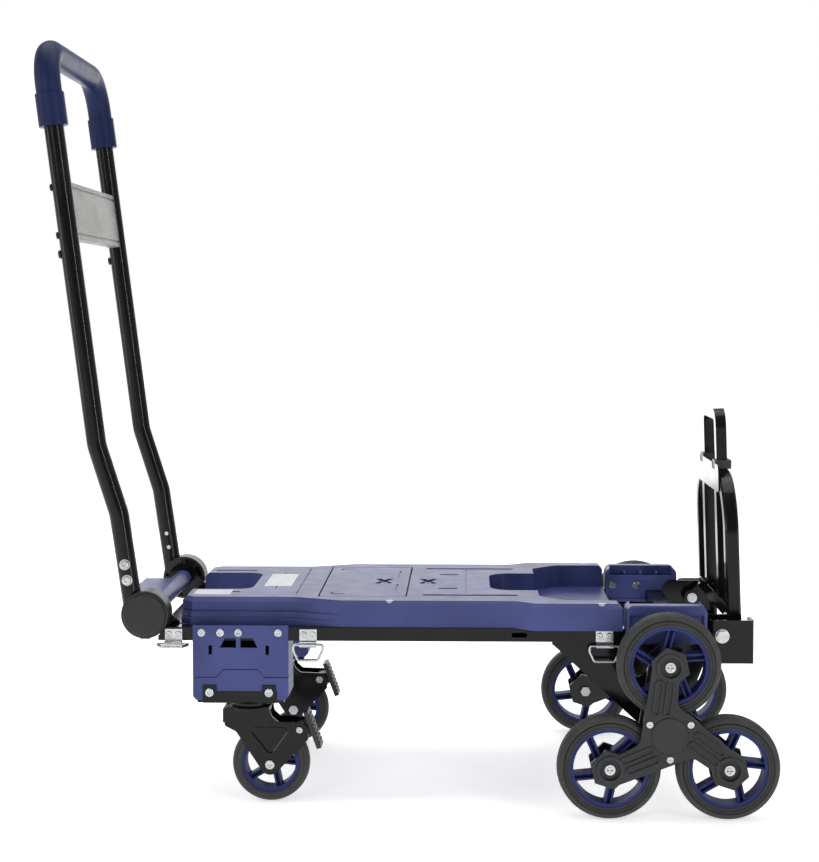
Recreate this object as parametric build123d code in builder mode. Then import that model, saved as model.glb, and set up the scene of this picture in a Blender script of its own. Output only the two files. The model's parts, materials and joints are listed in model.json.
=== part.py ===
from build123d import *
import math
import os

os.makedirs("parts", exist_ok=True)

# A folding platform trolley with stair climbing star wheels, in millimetres.
# +X points to the toe rack, +Z up, Z = 0 is the floor, and the XZ plane is the
# plane of symmetry: the right-hand side is -Y. The origin lies on the floor
# under the centre of the overall box.

# ---------------------------------------------------------------- driving sizes
LENGTH = 944.0
HEIGHT = 980.0

WHEEL_R = 65.0            # star wheels
WHEEL_W = 32.0
STAR_ARM = 85.0           # star axle to wheel axle
STAR_Y = 231.0            # mid-plane of the star wheels
STAR_X = LENGTH / 2 - WHEEL_R - STAR_ARM * math.cos(math.radians(30))
STAR_Z = WHEEL_R + STAR_ARM / 2
AXLE_R = 8.0
RUN_FIT = 0.05            # radial clearance of every running fit

CASTER_R = 50.0
CASTER_W = 30.0
CASTER_Y = 158.0
TRAIL = 27.0
SWIVEL_X = -195.6
CASTER_X = SWIVEL_X + TRAIL

DECK_X0 = -287.0
DECK_X1 = 280.0
DECK_Z0 = 226.0
DECK_TOP = 260.0

RAIL_Y = 162.0            # centre line of a side rail
RAIL_W = 22.0
RAIL_Z0 = 209.0
RAIL_Z1 = 226.0
RAIL_IN = RAIL_Y - RAIL_W / 2
RAIL_OUT = RAIL_Y + RAIL_W / 2

PIVOT_X = -328.6          # handle pivot
PIVOT_Z = 242.0
TUBE_R = 12.5
GRIP_R = 16.5
LEG_Y = 160.0
HUB_R = 30.5

RACK_X = 406.4            # toe rack pivot
RACK_Z = 219.0
RACK_LEAN = -2.0          # degrees, the rack leans over the deck

LOW = (Align.CENTER, Align.CENTER, Align.MIN)
HIGH = (Align.CENTER, Align.CENTER, Align.MAX)


# ---------------------------------------------------------------- shared helpers
def save(part, name):
    """Label a finished piece and write its STEP file."""
    part.label = name
    export_step(part, f"parts/{name}.step")


def save_pair(part, name):
    """Write a right-hand piece and its mirror image on the left."""
    left = mirror(part, about=Plane.XZ)
    save(part, f"{name}_r")
    save(left, f"{name}_l")


def bundle(*parts):
    """Keep several touching pieces as separate solids of one node."""
    return Compound([solid for part in parts for solid in part.solids()])


def outward(x, y, z, side=-1):
    """Plane on a side face, its normal pointing away from the plane of symmetry."""
    return Plane(origin=(x, y, z), x_dir=(1, 0, 0), z_dir=(0, side, 0))


def block(x0, x1, y0, y1, z0, z1, mode=Mode.ADD):
    """Axis-aligned block between two corners."""
    with Locations(((x0 + x1) / 2, (y0 + y1) / 2, (z0 + z1) / 2)):
        Box(x1 - x0, y1 - y0, z1 - z0, mode=mode)


def bar_along_y(x, z, y0, y1, radius, mode=Mode.ADD):
    """Round bar along Y between two places."""
    with Locations(Location((x, (y0 + y1) / 2, z), (90, 0, 0))):
        Cylinder(radius, y1 - y0, mode=mode)


def pan_screw(head_r, head_h, shank_r, shank_l):
    """Pan head screw with a cross recess; its head stands on the XY plane."""
    with BuildPart() as screw:
        Cylinder(head_r, head_h, align=LOW)
        fillet(screw.faces().sort_by(Axis.Z)[-1].edges(), head_h * 0.45)
        with Locations((0, 0, head_h)):
            Box(head_r * 1.1, head_r * 0.26, head_h, mode=Mode.SUBTRACT)
            Box(head_r * 0.26, head_r * 1.1, head_h, mode=Mode.SUBTRACT)
        Cylinder(shank_r, shank_l, align=HIGH)
    return screw.part


def hex_bolt(head_r, head_h, washer_r, shank_r, shank_l):
    """Button head bolt with a washer and a hexagon socket."""
    with BuildPart() as bolt:
        Cylinder(washer_r, 1.2, align=LOW)
        Cylinder(shank_r, shank_l, align=HIGH)
        with Locations((0, 0, 1.2)):
            Cylinder(head_r, head_h, align=LOW)
        fillet(bolt.faces().sort_by(Axis.Z)[-1].edges(), head_h * 0.5)
        with BuildSketch(Plane.XY.offset(1.2 + head_h)):
            RegularPolygon(head_r * 0.45, 6)
        extrude(amount=-head_h * 0.6, mode=Mode.SUBTRACT)
    return bolt.part


def place(part, planes):
    """Add a copy of a part on each plane."""
    for plane in planes:
        add(plane.location * part)


SMALL_SCREW = (5.2, 2.6, 2.0, 4.6)     # head radius, head height, shank radius, length
screw = pan_screw(*SMALL_SCREW)


# ---------------------------------------------------------------- deck
HALF_LEFT = 144.0         # half widths of the deck: handle end, middle, rack end
HALF_MID = 171.0
HALF_RIGHT = 190.0
FLANGE = 11.0             # the handle end widens by this much towards its foot
NOTCH_X1 = -203.0         # hand hole at the handle end
NOTCH_Y = 74.0
LID_X0 = -108.6
LID_X1 = 3.4
LID_Y = 130.0
LID_T = 5.6
LID_GAP = 2.0
EDGE_BEVEL = 5.5          # bevel round the top of the deck
RECESS_X = 177.0          # recess that takes the folded toe rack
RECESS_Y = 158.0
RECESS_Z = 229.5
POCKET_X = 114.0
POCKET_Y = 76.0


def deck_outline(flange, inset=0.0):
    """Outline of the deck, with its handle end widened and all sides moved in."""
    half_left = HALF_LEFT + flange - inset
    half_mid = HALF_MID - inset
    half_right = HALF_RIGHT - inset
    x0 = DECK_X0 + inset
    x1 = DECK_X1 - inset
    upper = [
        (x0, half_left - 14),
        (x0 + 14, half_left),
        (-139, half_left),
        (-80, half_mid),
        (145, half_mid),
        (168, half_right),
        (x1, half_right),
    ]
    lower = [(x, -y) for x, y in reversed(upper)]
    with BuildSketch(mode=Mode.PRIVATE) as outline:
        with BuildLine():
            Polyline(*upper, *lower, close=True)
        make_face()
        bends = outline.vertices().filter_by(lambda v: -150 < v.X < 175)
        fillet(bends, 14)
    return outline.sketch


def deck_recess(grow=0.0):
    """Plan of the recess: wide beside the rack legs, a round-ended pocket beyond."""
    with BuildSketch(mode=Mode.PRIVATE) as plan:
        with Locations(((RECESS_X + DECK_X1 + 20) / 2, 0)):
            Rectangle(DECK_X1 + 20 - RECESS_X + 2 * grow, 2 * (RECESS_Y + grow))
        corners = plan.vertices().group_by(Axis.X)[0]
        chamfer(corners, 34)
        fillet(plan.vertices().filter_by(lambda v: v.X < DECK_X1 - 40), 16)
        with BuildSketch(mode=Mode.PRIVATE) as pocket:
            with Locations(((POCKET_X + RECESS_X + 20) / 2, 0)):
                Rectangle(RECESS_X + 20 - POCKET_X + 2 * grow, 2 * (POCKET_Y + grow))
            fillet(pocket.vertices().group_by(Axis.X)[0], 30)
        add(pocket.sketch)
    return plan.sketch


def grip_cross(x):
    """Four-leafed finger recess."""
    with BuildSketch(mode=Mode.PRIVATE) as cross:
        for turn in (-24, 24):
            with Locations(Location((x, 0, 0), (0, 0, turn + 90))):
                SlotOverall(46, 8)
    return cross.sketch


LABEL_T = 0.4
LABELS = ((-275.0, -227.0, -119.0, -80.0), (-190.0, -153.0, -48.0, 64.0))
BUMPER_R = 5.0
BUMPER_H = 4.0
BUMPERS = [(x, side * (half - 7.5)) for x, half in ((-16, HALF_MID), (254, HALF_RIGHT))
           for side in (-1, 1)]


def make_deck():
    with BuildPart() as deck:
        with BuildSketch(Plane.XY.offset(DECK_Z0)):
            add(deck_outline(FLANGE))
        extrude(amount=8)
        with BuildSketch(Plane.XY.offset(DECK_Z0 + 8)):
            add(deck_outline(FLANGE * 0.55))
        extrude(amount=8)
        with BuildSketch(Plane.XY.offset(DECK_Z0 + 16)):
            add(deck_outline(0))
        extrude(amount=DECK_TOP - DECK_Z0 - 16)
        chamfer(deck.faces().sort_by(Axis.Z)[-1].edges(), EDGE_BEVEL)

        # hand hole open to the handle end
        block(DECK_X0 - 5, NOTCH_X1, -NOTCH_Y, NOTCH_Y, DECK_Z0 - 1, DECK_TOP + 1, Mode.SUBTRACT)
        corners = deck.edges().filter_by(Axis.Z).filter_by(
            lambda e: abs(e.center().X - NOTCH_X1) < 1 and abs(e.center().Y) < NOTCH_Y + 1
        )
        fillet(corners, 22)

        # rack recess, open to the rack end
        with BuildSketch(Plane.XY.offset(RECESS_Z)):
            add(deck_recess())
        extrude(amount=DECK_TOP - RECESS_Z + 1, mode=Mode.SUBTRACT)

        # seat and storage well under the hatch
        block(LID_X0 - LID_GAP, LID_X1 + LID_GAP, -LID_Y - LID_GAP, LID_Y + LID_GAP,
              DECK_TOP - LID_T - 0.4, DECK_TOP + 1, Mode.SUBTRACT)
        block(LID_X0 + 10, LID_X1 - 10, -LID_Y + 12, LID_Y - 12,
              DECK_Z0 + 4, DECK_TOP, Mode.SUBTRACT)

        # grip grooves in the top
        for side in (-1, 1):
            with BuildSketch(Plane.XY.offset(DECK_TOP)):
                with Locations((87.5, side * 119)):
                    SlotOverall(125, 9)
                with Locations((58, side * 62)):
                    SlotOverall(27, 7)
                with Locations((-245, side * 97)):
                    Rectangle(58, 8)
            extrude(amount=-3, mode=Mode.SUBTRACT)
        with BuildSketch(Plane.XY.offset(DECK_TOP)):
            for x in (-140, 82):
                with Locations((x, 0)):
                    Rectangle(1.6, 224)
            with Locations((-172, 0)):
                Rectangle(1.6, 150)
        extrude(amount=-1.2, mode=Mode.SUBTRACT)
        with BuildSketch(Plane.XY.offset(DECK_TOP)):
            add(grip_cross(30))
        extrude(amount=-2.5, mode=Mode.SUBTRACT)
        for x0, x1, y0, y1 in LABELS:
            block(x0, x1, y0, y1, DECK_TOP - LABEL_T, DECK_TOP + 1, Mode.SUBTRACT)
        for x, y in BUMPERS:
            with Locations((x, y, DECK_TOP - BUMPER_H)):
                Cylinder(BUMPER_R, 30, align=LOW, mode=Mode.SUBTRACT)

        # hollow underside with a lattice of ribs
        with BuildSketch(Plane.XY.offset(DECK_Z0)) as cells:
            add(deck_outline(0, inset=5))
            with Locations(((DECK_X0 + NOTCH_X1) / 2 - 3, 0)):
                Rectangle(NOTCH_X1 - DECK_X0 + 14, 2 * NOTCH_Y + 8, mode=Mode.SUBTRACT)
            with Locations(((LID_X0 + LID_X1) / 2, 0)):
                Rectangle(LID_X1 - LID_X0 + 12, 2 * LID_Y + 12, mode=Mode.SUBTRACT)
            add(deck_recess(4), mode=Mode.SUBTRACT)
            for x in (-240, -170, -140, 40, 76, 150):
                with Locations((x, 0)):
                    Rectangle(3.5, 400, mode=Mode.SUBTRACT)
            for y in (-RAIL_Y, -110, -55, 0, 55, 110, RAIL_Y):
                with Locations((0, y)):
                    Rectangle(600, 3.5, mode=Mode.SUBTRACT)
        extrude(amount=DECK_TOP - DECK_Z0 - 7, mode=Mode.SUBTRACT)
    return deck


deck = make_deck()
save(deck.part, "deck")

# hatch lid with a raised rim line and four corner marks
with BuildPart() as deck_lid:
    block(LID_X0, LID_X1, -LID_Y, LID_Y, DECK_TOP - LID_T, DECK_TOP)
    fillet(deck_lid.edges().filter_by(Axis.Z), 4)
    with BuildSketch(Plane.XY.offset(DECK_TOP)):
        for side in (-1, 1):
            with Locations((LID_X0 + 22, side * 112)):
                Rectangle(18, 3)
            with Locations((LID_X0 + 14.5, side * 107)):
                Rectangle(3, 13)
            with Locations((LID_X1 - 14, side * 60)):
                Rectangle(3, 60)
    extrude(amount=-1, mode=Mode.SUBTRACT)
    with BuildSketch(Plane.XY.offset(DECK_TOP)):
        add(grip_cross(-30))
    extrude(amount=-2.5, mode=Mode.SUBTRACT)
    with BuildSketch(Plane.XY.offset(DECK_TOP - LID_T)):
        for y in (-96, -48, 0, 48, 96):
            with Locations(((LID_X0 + LID_X1) / 2, y)):
                Rectangle(84, 3)
    extrude(amount=-3)
save(deck_lid.part, "deck_lid")

# blank rating labels and small edge bumpers, let in flush with the deck
with BuildPart() as deck_trim:
    for x0, x1, y0, y1 in LABELS:
        block(x0, x1, y0, y1, DECK_TOP - LABEL_T, DECK_TOP)
    for x, y in BUMPERS:
        with Locations((x, y, DECK_TOP - BUMPER_H)):
            Cylinder(BUMPER_R, BUMPER_H, align=LOW)
save(deck_trim.part, "deck_trim")


# ---------------------------------------------------------------- welded frame
RAIL_X0 = -312.0
RAIL_X1 = 399.0
CROSS_X = (-300, -112, 60, 232, 354)
CHEEK_Y = 140.0           # inner face of the pivot cheeks
CHEEK_T = 5.0
AXLE_HOLE = AXLE_R + RUN_FIT

with BuildPart() as frame:
    for side in (-1, 1):
        y0, y1 = sorted((side * RAIL_IN, side * RAIL_OUT))
        block(RAIL_X0, RAIL_X1, y0, y1, RAIL_Z0, RAIL_Z1)
        block(RAIL_X0 - 1, RAIL_X1 + 1, y0 + 2.5, y1 - 2.5, RAIL_Z0 + 2.5, RAIL_Z1 - 2.5,
              Mode.SUBTRACT)
    for x in CROSS_X:
        block(x - 11, x + 11, -RAIL_IN, RAIL_IN, RAIL_Z0 + 1, RAIL_Z1 - 1)
        block(x - 9, x + 9, -RAIL_IN + 2, RAIL_IN - 2, RAIL_Z0 + 3, RAIL_Z1 - 3, Mode.SUBTRACT)
    for side in (-1, 1):
        with BuildSketch(Plane.XZ.offset(side * (CHEEK_Y + CHEEK_T / 2))):
            with BuildLine():
                Polyline((-350, 246), (-350, 232), (-311, RAIL_Z0 + 1), (-289, RAIL_Z0 + 1),
                         (-289, 228), (-308, 246), close=True)
            make_face()
            with Locations((PIVOT_X, PIVOT_Z)):
                Circle(21.4)
                Circle(AXLE_HOLE, mode=Mode.SUBTRACT)
        extrude(amount=CHEEK_T / 2, both=True)
        # long slot in the outer wall of the rail
        with BuildSketch(Plane.XZ.offset(side * RAIL_OUT)):
            with Locations((150, (RAIL_Z0 + RAIL_Z1) / 2)):
                SlotOverall(20, 6)
        extrude(amount=5, both=True, mode=Mode.SUBTRACT)
        # the rail ends follow the handle hubs
        y0, y1 = sorted((side * (CHEEK_Y + CHEEK_T), side * 190))
        bar_along_y(PIVOT_X, PIVOT_Z, y0, y1, HUB_R + 1.0, Mode.SUBTRACT)
save(frame.part, "frame")

# steel webs that carry the star axle below the rails
WEB_Y = 162.0
WEB_T = 5.0
with BuildPart() as axle_brackets:
    for side in (-1, 1):
        with BuildSketch(Plane.XZ.offset(side * WEB_Y)):
            with BuildLine():
                Polyline((192, RAIL_Z0 - 4), (202, 196), (STAR_X - 18, STAR_Z - 16),
                         (STAR_X + 18, STAR_Z - 16), (392, 196), (392, RAIL_Z0 - 4), close=True)
            make_face()
            with Locations((STAR_X, STAR_Z)):
                Circle(24)
            with Locations((300, 178)):
                Circle(15, mode=Mode.SUBTRACT)
            with Locations((STAR_X, STAR_Z)):
                Circle(AXLE_R, mode=Mode.SUBTRACT)
        extrude(amount=WEB_T / 2, both=True)
        y0, y1 = sorted((side * (RAIL_IN + 1), side * (RAIL_OUT - 1)))
        block(192, 392, y0, y1, RAIL_Z0 - 4, RAIL_Z0)
        y0, y1 = sorted((side * (WEB_Y + WEB_T / 2), side * 176))
        bar_along_y(STAR_X, STAR_Z, y0, y1, 14)
        bar_along_y(STAR_X, STAR_Z, y0 - 1, y1 + 1, AXLE_R, Mode.SUBTRACT)
save(axle_brackets.part, "axle_brackets")

# ---------------------------------------------------------------- corner blocks
BLOCK_X0 = 284.5
BLOCK_X1 = 387.0
BLOCK_TOP = 258.5
BLOCK_IN = 147.0
BLOCK_OUT = 190.0

with BuildPart() as corner_block:
    block(BLOCK_X0, BLOCK_X1, -BLOCK_OUT, -BLOCK_IN, RAIL_Z0, BLOCK_TOP)
    fillet(corner_block.edges().filter_by(Axis.Y).group_by(Axis.Z)[-1], 10)
    fillet(corner_block.faces().sort_by(Axis.Z)[-1].edges(), 3)
    # outer face set back below the top lip
    block(BLOCK_X0 + 5, BLOCK_X1 - 5, -BLOCK_OUT - 1, -BLOCK_OUT + 4, RAIL_Z0 - 1, 246,
          Mode.SUBTRACT)
    # tunnel for the rail and the hollow outboard of it
    block(BLOCK_X0 - 1, BLOCK_X1 + 1, -RAIL_OUT - 1, -RAIL_IN + 0.5, RAIL_Z0 - 1, RAIL_Z1,
          Mode.SUBTRACT)
    block(BLOCK_X0 + 8, BLOCK_X1 - 8, -BLOCK_OUT + 7, -RAIL_OUT - 3, RAIL_Z0 - 1, 250,
          Mode.SUBTRACT)
    # four open-topped pockets behind a low inner wall
    for i in range(4):
        x = BLOCK_X0 + 6 + i * 23.2
        block(x, x + 20.4, -RAIL_OUT + 0.5, -BLOCK_IN - 4, 236, 270, Mode.SUBTRACT)
    block(BLOCK_X0 + 6, BLOCK_X1 - 6, -BLOCK_IN - 5, -BLOCK_IN + 1, 247, 270, Mode.SUBTRACT)
    block(BLOCK_X0 + 6, BLOCK_X0 + 96, -RAIL_OUT + 0.5, -BLOCK_IN - 4, 251, 270, Mode.SUBTRACT)
    block(BLOCK_X0 + 4, BLOCK_X1 - 4, -BLOCK_IN - 1.5, -BLOCK_IN + 1, RAIL_Z0 + 4, 240,
          Mode.SUBTRACT)
    block(CROSS_X[-1] - 11.5, CROSS_X[-1] + 11.5, -RAIL_IN - 0.5, -BLOCK_IN + 1, RAIL_Z0 - 1,
          RAIL_Z1 - 0.5, Mode.SUBTRACT)
    for x in (BLOCK_X0 + 10, BLOCK_X0 + 44):
        bar_along_y(x, 233.5, -BLOCK_IN - 8, -BLOCK_IN, 2.0, Mode.SUBTRACT)
with BuildPart() as corner_blocks:
    add(corner_block.part)
    mirror(about=Plane.XZ)
save(corner_blocks.part, "corner_blocks")

# ---------------------------------------------------------------- rack hinge brackets
BOX_X0 = 392.5
BOX_X1 = 446.4
BOX_Z0 = 184.0
BOX_Z1 = 239.0
BOX_OUT = 182.0
PLATE_IN = 145.0          # inner hinge plate between the rack leg and the block
PIN_R = 7.0
with BuildPart() as rack_bracket:
    # outer box, open on top and towards the rack
    block(BOX_X0, BOX_X1, -BOX_OUT, -BOX_OUT + 4, BOX_Z0, BOX_Z1)
    block(BOX_X1 - 4, BOX_X1, -BOX_OUT, -RAIL_IN - 1, BOX_Z0, BOX_Z1)
    block(BOX_X0, BOX_X1, -BOX_OUT, -RAIL_IN - 1, BOX_Z0, BOX_Z0 + 4)
    block(BOX_X0, BOX_X0 + 4, -BOX_OUT, -RAIL_OUT - 0.5, BOX_Z0, BOX_Z1)
    fillet(rack_bracket.edges().filter_by(Axis.Z).group_by(Axis.Y)[0], 3)
    bar_along_y(RACK_X, RACK_Z, -BOX_OUT - 1, -BOX_OUT + 6, PIN_R, Mode.SUBTRACT)
    # end plate that closes the rail and carries the box
    block(RAIL_X1, RAIL_X1 + 4, -BOX_OUT + 4, -RAIL_IN, BOX_Z0 + 4, BOX_Z1 - 8)
    bar_along_y(RACK_X, RACK_Z, -BOX_OUT, -RAIL_IN + 1, PIN_R, Mode.SUBTRACT)
with BuildPart() as hinge_plate:
    with BuildSketch(Plane.XZ.offset(PLATE_IN)):
        with BuildLine():
            Polyline((366, 214), (366, 230), (376, 241), (424, 241), (424, 232),
                     (416, 208), (372, 208), close=True)
        make_face()
        with Locations((RACK_X, RACK_Z)):
            Circle(PIN_R, mode=Mode.SUBTRACT)
    extrude(amount=BLOCK_IN - PLATE_IN)
    fillet(hinge_plate.edges().filter_by(Axis.Y).filter_by(GeomType.LINE).group_by(Axis.X)[0], 6)
with BuildPart() as rack_brackets:
    add(rack_bracket.part)
    add(hinge_plate.part)
    mirror(about=Plane.XZ)
save(rack_brackets.part, "rack_brackets")


# ---------------------------------------------------------------- caster housings
HOUSE_X0 = -267.6
HOUSE_X1 = -144.6
HOUSE_MID = (HOUSE_X0 + HOUSE_X1) / 2
HOUSE_IN = 110.0
HOUSE_OUT = 178.0
HOUSE_Z0 = 133.0
HOUSE_SPLIT = 162.0
SPLIT_GAP = 0.9
HOUSE_Z1 = 229.0
HOUSE_WALL = 3.5
HUMP = 10.0
RAIL_GAP = 0.4
SHELL_SCREWS = ((-255.6, 220), (-231.6, 220), (-208.6, 220), (-157.6, 220))
PLATE_SCREWS = ((-245.6, 143), (-169.6, 143))


def split_line(grow=0.0):
    """Front face below the parting line, a low wall with a raised middle."""
    with BuildSketch(mode=Mode.PRIVATE) as face:
        with BuildLine():
            Polyline((HOUSE_X0 - 1, HOUSE_Z0 - 1), (HOUSE_X0 - 1, HOUSE_SPLIT + grow),
                     (HOUSE_MID - 31, HOUSE_SPLIT + grow), (HOUSE_MID - 22, HOUSE_SPLIT + HUMP + grow),
                     (HOUSE_MID + 22, HOUSE_SPLIT + HUMP + grow), (HOUSE_MID + 31, HOUSE_SPLIT + grow),
                     (HOUSE_X1 + 1, HOUSE_SPLIT + grow), (HOUSE_X1 + 1, HOUSE_Z0 - 1), close=True)
        make_face()
    return face.sketch


with BuildPart() as shell:
    block(HOUSE_X0, HOUSE_X1, -HOUSE_OUT, -HOUSE_IN, HOUSE_Z0, HOUSE_Z1)
    chamfer(shell.edges().filter_by(Axis.Y).group_by(Axis.Z)[0], 5)
    fillet(shell.edges().filter_by(Axis.Z), 3)
    block(HOUSE_X0 + HOUSE_WALL, HOUSE_X1 - HOUSE_WALL, -HOUSE_OUT + HOUSE_WALL,
          -HOUSE_IN - HOUSE_WALL, HOUSE_Z0 + HOUSE_WALL, HOUSE_Z1 + 1, Mode.SUBTRACT)
    # only the outer wall rises past the underside of the rail
    block(HOUSE_X0 - 1, HOUSE_X1 + 1, -RAIL_OUT - RAIL_GAP, -HOUSE_IN + 1, RAIL_Z0 - RAIL_GAP,
          HOUSE_Z1 + 1, Mode.SUBTRACT)
    # seat for the upturned edge of the caster plate
    block(HOUSE_MID - 47, HOUSE_MID + 47, -HOUSE_OUT - 1, -HOUSE_OUT + 2, HOUSE_Z0 - 1, 144.4,
          Mode.SUBTRACT)
    for x, z in PLATE_SCREWS:
        block(x - 9, x + 9, -HOUSE_OUT - 1, -HOUSE_OUT + 2, HOUSE_Z0 - 1, 153, Mode.SUBTRACT)

with BuildPart() as housing_upper:
    add(shell.part)
    with BuildSketch(Plane.XZ.offset(HOUSE_IN - 1)):
        add(split_line(SPLIT_GAP))
    extrude(amount=HOUSE_OUT - HOUSE_IN + 2, mode=Mode.SUBTRACT)
    # two windows and two slots through the outer wall
    with BuildSketch(Plane.XZ.offset(HOUSE_OUT + 1)):
        with BuildLine():
            Polyline((-232.6, 200.5), (-211.6, 200.5), (-211.6, 213), (-225.6, 213), close=True)
        make_face()
        with BuildLine():
            Polyline((-206, 200.5), (-184, 200.5), (-190, 213), (-206, 213), close=True)
        make_face()
        for x in (-244.6, -171.6):
            with Locations((x, 197.5)):
                Rectangle(4.5, 12)
    extrude(amount=-(HOUSE_WALL + 2), mode=Mode.SUBTRACT)
    for x, z in SHELL_SCREWS:
        bar_along_y(x, z, -HOUSE_OUT - 1, -RAIL_OUT + 1, 2.0, Mode.SUBTRACT)

with BuildPart() as housing_lower:
    add(shell.part)
    with BuildSketch(Plane.XZ.offset(HOUSE_IN - 1)):
        add(split_line())
    extrude(amount=HOUSE_OUT - HOUSE_IN + 2, mode=Mode.INTERSECT)
    with Locations((SWIVEL_X, -CASTER_Y, HOUSE_Z0)):
        Cylinder(12, 10, mode=Mode.SUBTRACT)

with BuildPart() as housing_uppers:
    add(housing_upper.part)
    mirror(about=Plane.XZ)
save(housing_uppers.part, "housing_uppers")
with BuildPart() as housing_lowers:
    add(housing_lower.part)
    mirror(about=Plane.XZ)
save(housing_lowers.part, "housing_lowers")

# ---------------------------------------------------------------- caster plates and races
PLATE_Z0 = 129.5
PLATE_Z1 = HOUSE_Z0
RACE_R = 25.0
KINGPIN_R = 6.0
KINGPIN_Z0 = 109.0        # foot of the kingpin
with BuildPart() as caster_plates:
    block(HOUSE_X0 + 6, HOUSE_X1 - 6, -HOUSE_OUT + 2, -HOUSE_IN - 2, PLATE_Z0, PLATE_Z1)
    block(HOUSE_MID - 46.5, HOUSE_MID + 46.5, -HOUSE_OUT - 0.5, -HOUSE_OUT + 2, PLATE_Z0, 144)
    for x, z in PLATE_SCREWS:
        block(x - 8.5, x + 8.5, -HOUSE_OUT - 0.5, -HOUSE_OUT + 2, PLATE_Z0, 152.5)
        bar_along_y(x, z, -HOUSE_OUT - 1, -HOUSE_OUT + 3, 2.0, Mode.SUBTRACT)
    with Locations((SWIVEL_X, -CASTER_Y, PLATE_Z0)):
        Cylinder(KINGPIN_R, 10, mode=Mode.SUBTRACT)
    mirror(about=Plane.XZ)
save(caster_plates.part, "caster_plates")

# fixed half of each swivel head: a ring under the plate and the kingpin
with BuildPart() as caster_races:
    with Locations((SWIVEL_X, -CASTER_Y, PLATE_Z0)):
        Cylinder(RACE_R, 4.5, align=HIGH)
    fillet(caster_races.faces().sort_by(Axis.Z)[0].edges(), 1.6)
    with Locations((SWIVEL_X, -CASTER_Y, KINGPIN_Z0)):
        Cylinder(KINGPIN_R, PLATE_Z1 + 1 - KINGPIN_Z0, align=LOW)
        Cylinder(KINGPIN_R + 4, 4, align=LOW)
    with Locations((SWIVEL_X, -CASTER_Y, PLATE_Z1)):
        Cylinder(KINGPIN_R + 4, 3, align=LOW)
    mirror(about=Plane.XZ)
save(caster_races.part, "caster_races")

# ---------------------------------------------------------------- casters
FORK_IN = 16.5            # half gap between the fork sides
FORK_T = 2.6
FORK_OUT = FORK_IN + FORK_T
FORK_TOP = 124.0
BOLT_R = 5.0
BRAKE_X = -130.6
BRAKE_Z = 95.0
BRAKE_PIN_R = 3.0
PRESS_DEPTH = 1.5         # pressed triangle of the fork sides
PRESS_TAPER = 50


def fork_side():
    """Side plate of a caster fork in the XZ plane, from swivel head to axle."""
    with BuildSketch(mode=Mode.PRIVATE) as side:
        with BuildLine():
            Polyline((-227, FORK_TOP), (-227, 100), (-212, 92), (-181, 45), (CASTER_X, 50),
                     (-157, 43), (-120, 82), (-119, 96), (-127, 104), (-158, 105),
                     (-166, 112), (-170, FORK_TOP), close=True)
        make_face()
        with Locations((CASTER_X, 50)):
            Circle(13.5)
        with Locations((BRAKE_X, BRAKE_Z)):
            Circle(9)
        corners = side.vertices().filter_by(lambda v: v.Z < 1 and v.Y > 86 and v.X < -140)
        fillet(corners, 4)
    return side.sketch


with BuildPart() as caster_fork:
    for y in (-CASTER_Y - FORK_OUT, -CASTER_Y + FORK_IN):
        with BuildSketch(Plane.XZ.offset(-y)):
            add(fork_side())
        extrude(amount=-FORK_T)
    # swivel head: a plate between the sides and a raised lower ring
    block(-227, -170, -CASTER_Y - FORK_OUT, -CASTER_Y + FORK_OUT, FORK_TOP - 5.5, FORK_TOP - 2.5)
    with Locations((SWIVEL_X, -CASTER_Y, FORK_TOP - 0.8)):
        Cylinder(RACE_R + 2, 5, align=HIGH)
    block(-229, -227, -CASTER_Y - FORK_OUT, -CASTER_Y + FORK_OUT, 104, FORK_TOP - 2.5)
    with Locations((SWIVEL_X, -CASTER_Y, FORK_TOP)):
        Cylinder(KINGPIN_R + RUN_FIT, 40, mode=Mode.SUBTRACT)
    # pressed triangle in the outer faces
    with BuildSketch(Plane.XZ.offset(CASTER_Y + FORK_OUT)) as press:
        with BuildLine():
            Polyline((-199, 99), (-140, 99), (-168, 60), close=True)
        make_face()
        fillet(press.vertices(), 6)
    extrude(amount=-PRESS_DEPTH, taper=PRESS_TAPER, mode=Mode.SUBTRACT)
    bar_along_y(CASTER_X, 50, -CASTER_Y - 25, -CASTER_Y + 25, BOLT_R, Mode.SUBTRACT)
    bar_along_y(BRAKE_X, BRAKE_Z, -CASTER_Y - 25, -CASTER_Y + 25, BRAKE_PIN_R, Mode.SUBTRACT)
    # the kingpin's lower head stays clear
    with Locations((SWIVEL_X, -CASTER_Y, 108)):
        Cylinder(KINGPIN_R + 5, 5.6, align=LOW, mode=Mode.SUBTRACT)
save_pair(caster_fork.part, "caster_fork")

with BuildPart() as caster_pins:
    bar_along_y(CASTER_X, 50, -CASTER_Y - FORK_OUT, -CASTER_Y + FORK_OUT, BOLT_R)
    bar_along_y(BRAKE_X, BRAKE_Z, -CASTER_Y - FORK_OUT, -CASTER_Y + FORK_OUT, BRAKE_PIN_R)
    for x, z, head in ((CASTER_X, 50, 6.2), (BRAKE_X, BRAKE_Z, 4.4)):
        place(pan_screw(head, 3.4, BRAKE_PIN_R, 2), [outward(x, -CASTER_Y - FORK_OUT, z, -1)])
        with BuildSketch(Plane.XZ.offset(CASTER_Y - FORK_OUT)):
            with Locations((x, z)):
                RegularPolygon(head + 1, 6)
        extrude(amount=-3.6)
save_pair(caster_pins.part, "caster_pins")

with BuildPart() as caster_tyre:
    bar_along_y(CASTER_X, CASTER_R, -CASTER_Y - CASTER_W / 2, -CASTER_Y + CASTER_W / 2, CASTER_R)
    fillet(caster_tyre.edges(), 6)
    bar_along_y(CASTER_X, CASTER_R, -CASTER_Y - 20, -CASTER_Y + 20, 37, Mode.SUBTRACT)
save_pair(caster_tyre.part, "caster_tyre")


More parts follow.
